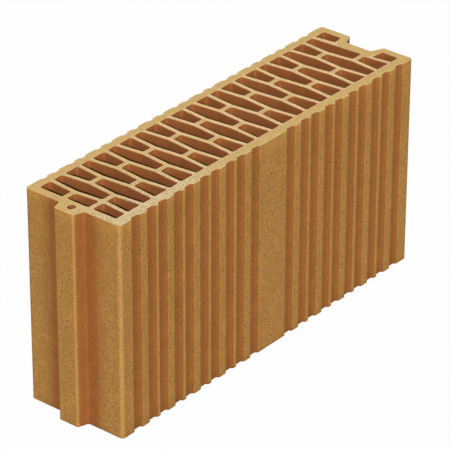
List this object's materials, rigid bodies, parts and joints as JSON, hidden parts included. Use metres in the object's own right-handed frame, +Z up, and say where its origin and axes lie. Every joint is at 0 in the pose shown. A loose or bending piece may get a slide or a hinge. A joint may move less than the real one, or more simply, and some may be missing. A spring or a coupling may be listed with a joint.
{
  "type": "hollow clay block",
  "caption": "Tall, narrow fired clay wall block with upright zigzag cells, ribbed long sides, a tongue on one end and a slot on the other, for thin-joint partition walls.",
  "frame": {"origin": "middle of the box round the block, tongue included, on its lower bed face", "axes": "+X along the length from the tongue end to the slot end, +Y from the side with the plain band to the fully ribbed side, +Z up along the cells"},
  "size_m": [0.497, 0.126, 0.249],
  "materials": {
    "fired_clay": "matte"
  },
  "bodies": {
    "root": {"clay_block": "fired_clay"}
  },
  "joints": []
}
